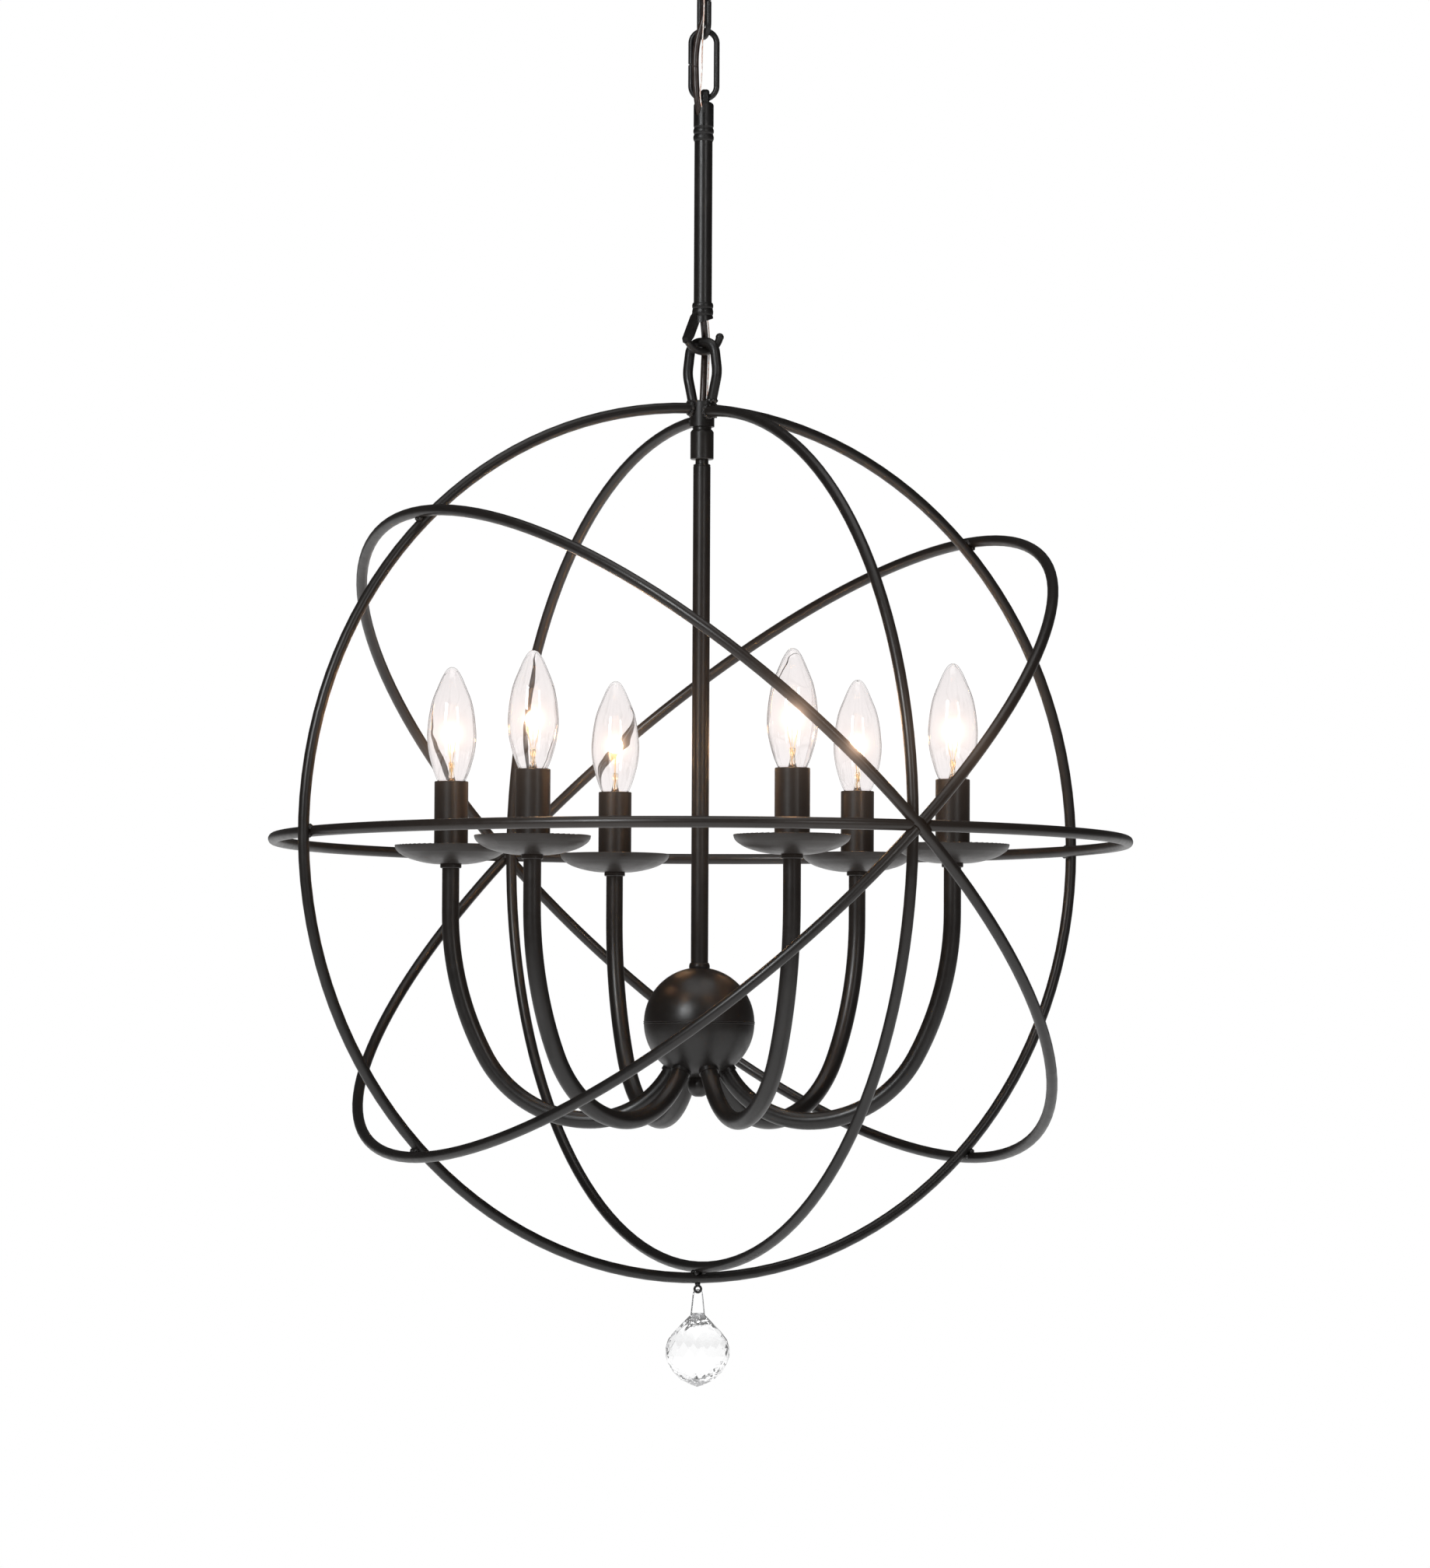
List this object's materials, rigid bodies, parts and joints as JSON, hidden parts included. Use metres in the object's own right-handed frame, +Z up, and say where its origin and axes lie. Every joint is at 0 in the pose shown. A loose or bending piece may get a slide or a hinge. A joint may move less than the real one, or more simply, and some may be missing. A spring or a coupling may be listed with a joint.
{
  "type": "orb chandelier",
  "caption": "Ceiling chandelier: open orb of crossing metal rings around a ring of candle lamps on curved arms, hung by a hooked stem and chain, with a crystal drop.",
  "frame": {"origin": "middle of the ceiling plane, where the crossbar and the canopy's rim touch the ceiling", "axes": "+Z up, the chandelier hangs towards -Z; -Y faces the viewer; X to the viewer's right"},
  "size_m": [0.6312, 0.6408, 1.1022],
  "materials": {
    "black_coat": "satin black powder coat",
    "zinc_steel": "zinc plated",
    "green_screw": "green ground screw",
    "terminal_plastic": "white moulded plastic",
    "lead_jacket": "pale lead insulation",
    "socket_plastic": "black lamp holder",
    "cord_jacket": "dark brown cord jacket",
    "silver_wire": "bright wire",
    "crystal": "clear faceted crystal",
    "lamp_glass": "clear blown glass"
  },
  "bodies": {
    "ceiling": {"mounting_crossbar": "zinc_steel", "ground_screw": "green_screw", "canopy_nipple": "zinc_steel", "crossbar_lock_nut": "zinc_steel", "canopy": "black_coat", "canopy_collar_nut": "black_coat", "canopy_loop": "black_coat", "cord_canopy": "cord_jacket"},
    "upper_link": {"chain_link_upper": "black_coat", "cord_links": "cord_jacket"},
    "lower_link": {"chain_link_lower": "black_coat"},
    "stem": {"stem_top_loop": "black_coat", "stem_tube": "black_coat", "stem_hook": "black_coat", "cord_stem": "cord_jacket"},
    "orb": {"hanger_loop": "black_coat", "ring_hub": "black_coat", "hub_coupling": "black_coat", "column_nipple": "black_coat", "column_ring_nut": "black_coat", "column_tube": "black_coat", "column_collar": "black_coat", "ball_upper_shell": "black_coat", "ball_lower_shell": "black_coat", "ball_center_rod": "zinc_steel", "ball_rod_nut": "zinc_steel", "bottom_finial": "black_coat", "terminal_block": "terminal_plastic", "meridian_ring_outer": "black_coat", "meridian_ring_inner": "black_coat", "equator_ring": "black_coat", "tilted_ring_a": "black_coat", "tilted_ring_b": "black_coat", "crystal_eyelet": "black_coat", "arm_1": "black_coat", "arm_2": "black_coat", "arm_3": "black_coat", "arm_4": "black_coat", "arm_5": "black_coat", "arm_6": "black_coat", "arm_ball_collars": "black_coat", "arm_ball_nuts": "zinc_steel", "lamp_leads": "lead_jacket", "bobeche_ring_nuts": "black_coat", "bobeches": "black_coat", "candle_sleeves": "black_coat", "lamp_sockets": "socket_plastic", "cord_column": "cord_jacket"},
    "crystal_bail": {"crystal_wire": "silver_wire"},
    "crystal_drop": {"crystal_ball": "crystal"},
    "lamp_1": {"bulb_1": "lamp_glass"},
    "lamp_2": {"bulb_2": "lamp_glass"},
    "lamp_3": {"bulb_3": "lamp_glass"},
    "lamp_4": {"bulb_4": "lamp_glass"},
    "lamp_5": {"bulb_5": "lamp_glass"},
    "lamp_6": {"bulb_6": "lamp_glass"}
  },
  "joints": [
    {"name": "upper_link_swing", "type": "hinge", "parent": "ceiling", "child": "upper_link", "pos_m": [0, 0, -0.06645], "axis": [1, 0, 0], "range_deg": [-30, 30], "deforming": ["cord_canopy"]},
    {"name": "lower_link_swing", "type": "hinge", "parent": "upper_link", "child": "lower_link", "pos_m": [0, 0, -0.11215], "axis": [0.342, -0.9397, 0], "range_deg": [-30, 30], "deforming": ["cord_links"]},
    {"name": "stem_swing", "type": "hinge", "parent": "lower_link", "child": "stem", "pos_m": [0, 0, -0.15805], "axis": [1, 0, 0], "range_deg": [-30, 30], "deforming": ["cord_stem"]},
    {"name": "orb_swing", "type": "hinge", "parent": "stem", "child": "orb", "pos_m": [0, 0, -0.34495], "axis": [0.8387, 0.5446, 0], "range_deg": [-20, 20], "deforming": ["cord_column"]},
    {"name": "bail_swing", "type": "hinge", "parent": "orb", "child": "crystal_bail", "pos_m": [0, 0, -1.03347], "axis": [1, 0, 0], "range_deg": [-20, 20]},
    {"name": "drop_swing", "type": "hinge", "parent": "crystal_bail", "child": "crystal_drop", "pos_m": [0, 0, -1.0513], "axis": [0.6428, 0.766, 0], "range_deg": [-20, 20]},
    {"name": "lamp_1_lift", "type": "slide", "parent": "orb", "child": "lamp_1", "axis": [0, 0, 1], "range_m": [0, 0.03]},
    {"name": "lamp_2_lift", "type": "slide", "parent": "orb", "child": "lamp_2", "axis": [0, 0, 1], "range_m": [0, 0.03]},
    {"name": "lamp_3_lift", "type": "slide", "parent": "orb", "child": "lamp_3", "axis": [0, 0, 1], "range_m": [0, 0.03]},
    {"name": "lamp_4_lift", "type": "slide", "parent": "orb", "child": "lamp_4", "axis": [0, 0, 1], "range_m": [0, 0.03]},
    {"name": "lamp_5_lift", "type": "slide", "parent": "orb", "child": "lamp_5", "axis": [0, 0, 1], "range_m": [0, 0.03]},
    {"name": "lamp_6_lift", "type": "slide", "parent": "orb", "child": "lamp_6", "axis": [0, 0, 1], "range_m": [0, 0.03]}
  ]
}
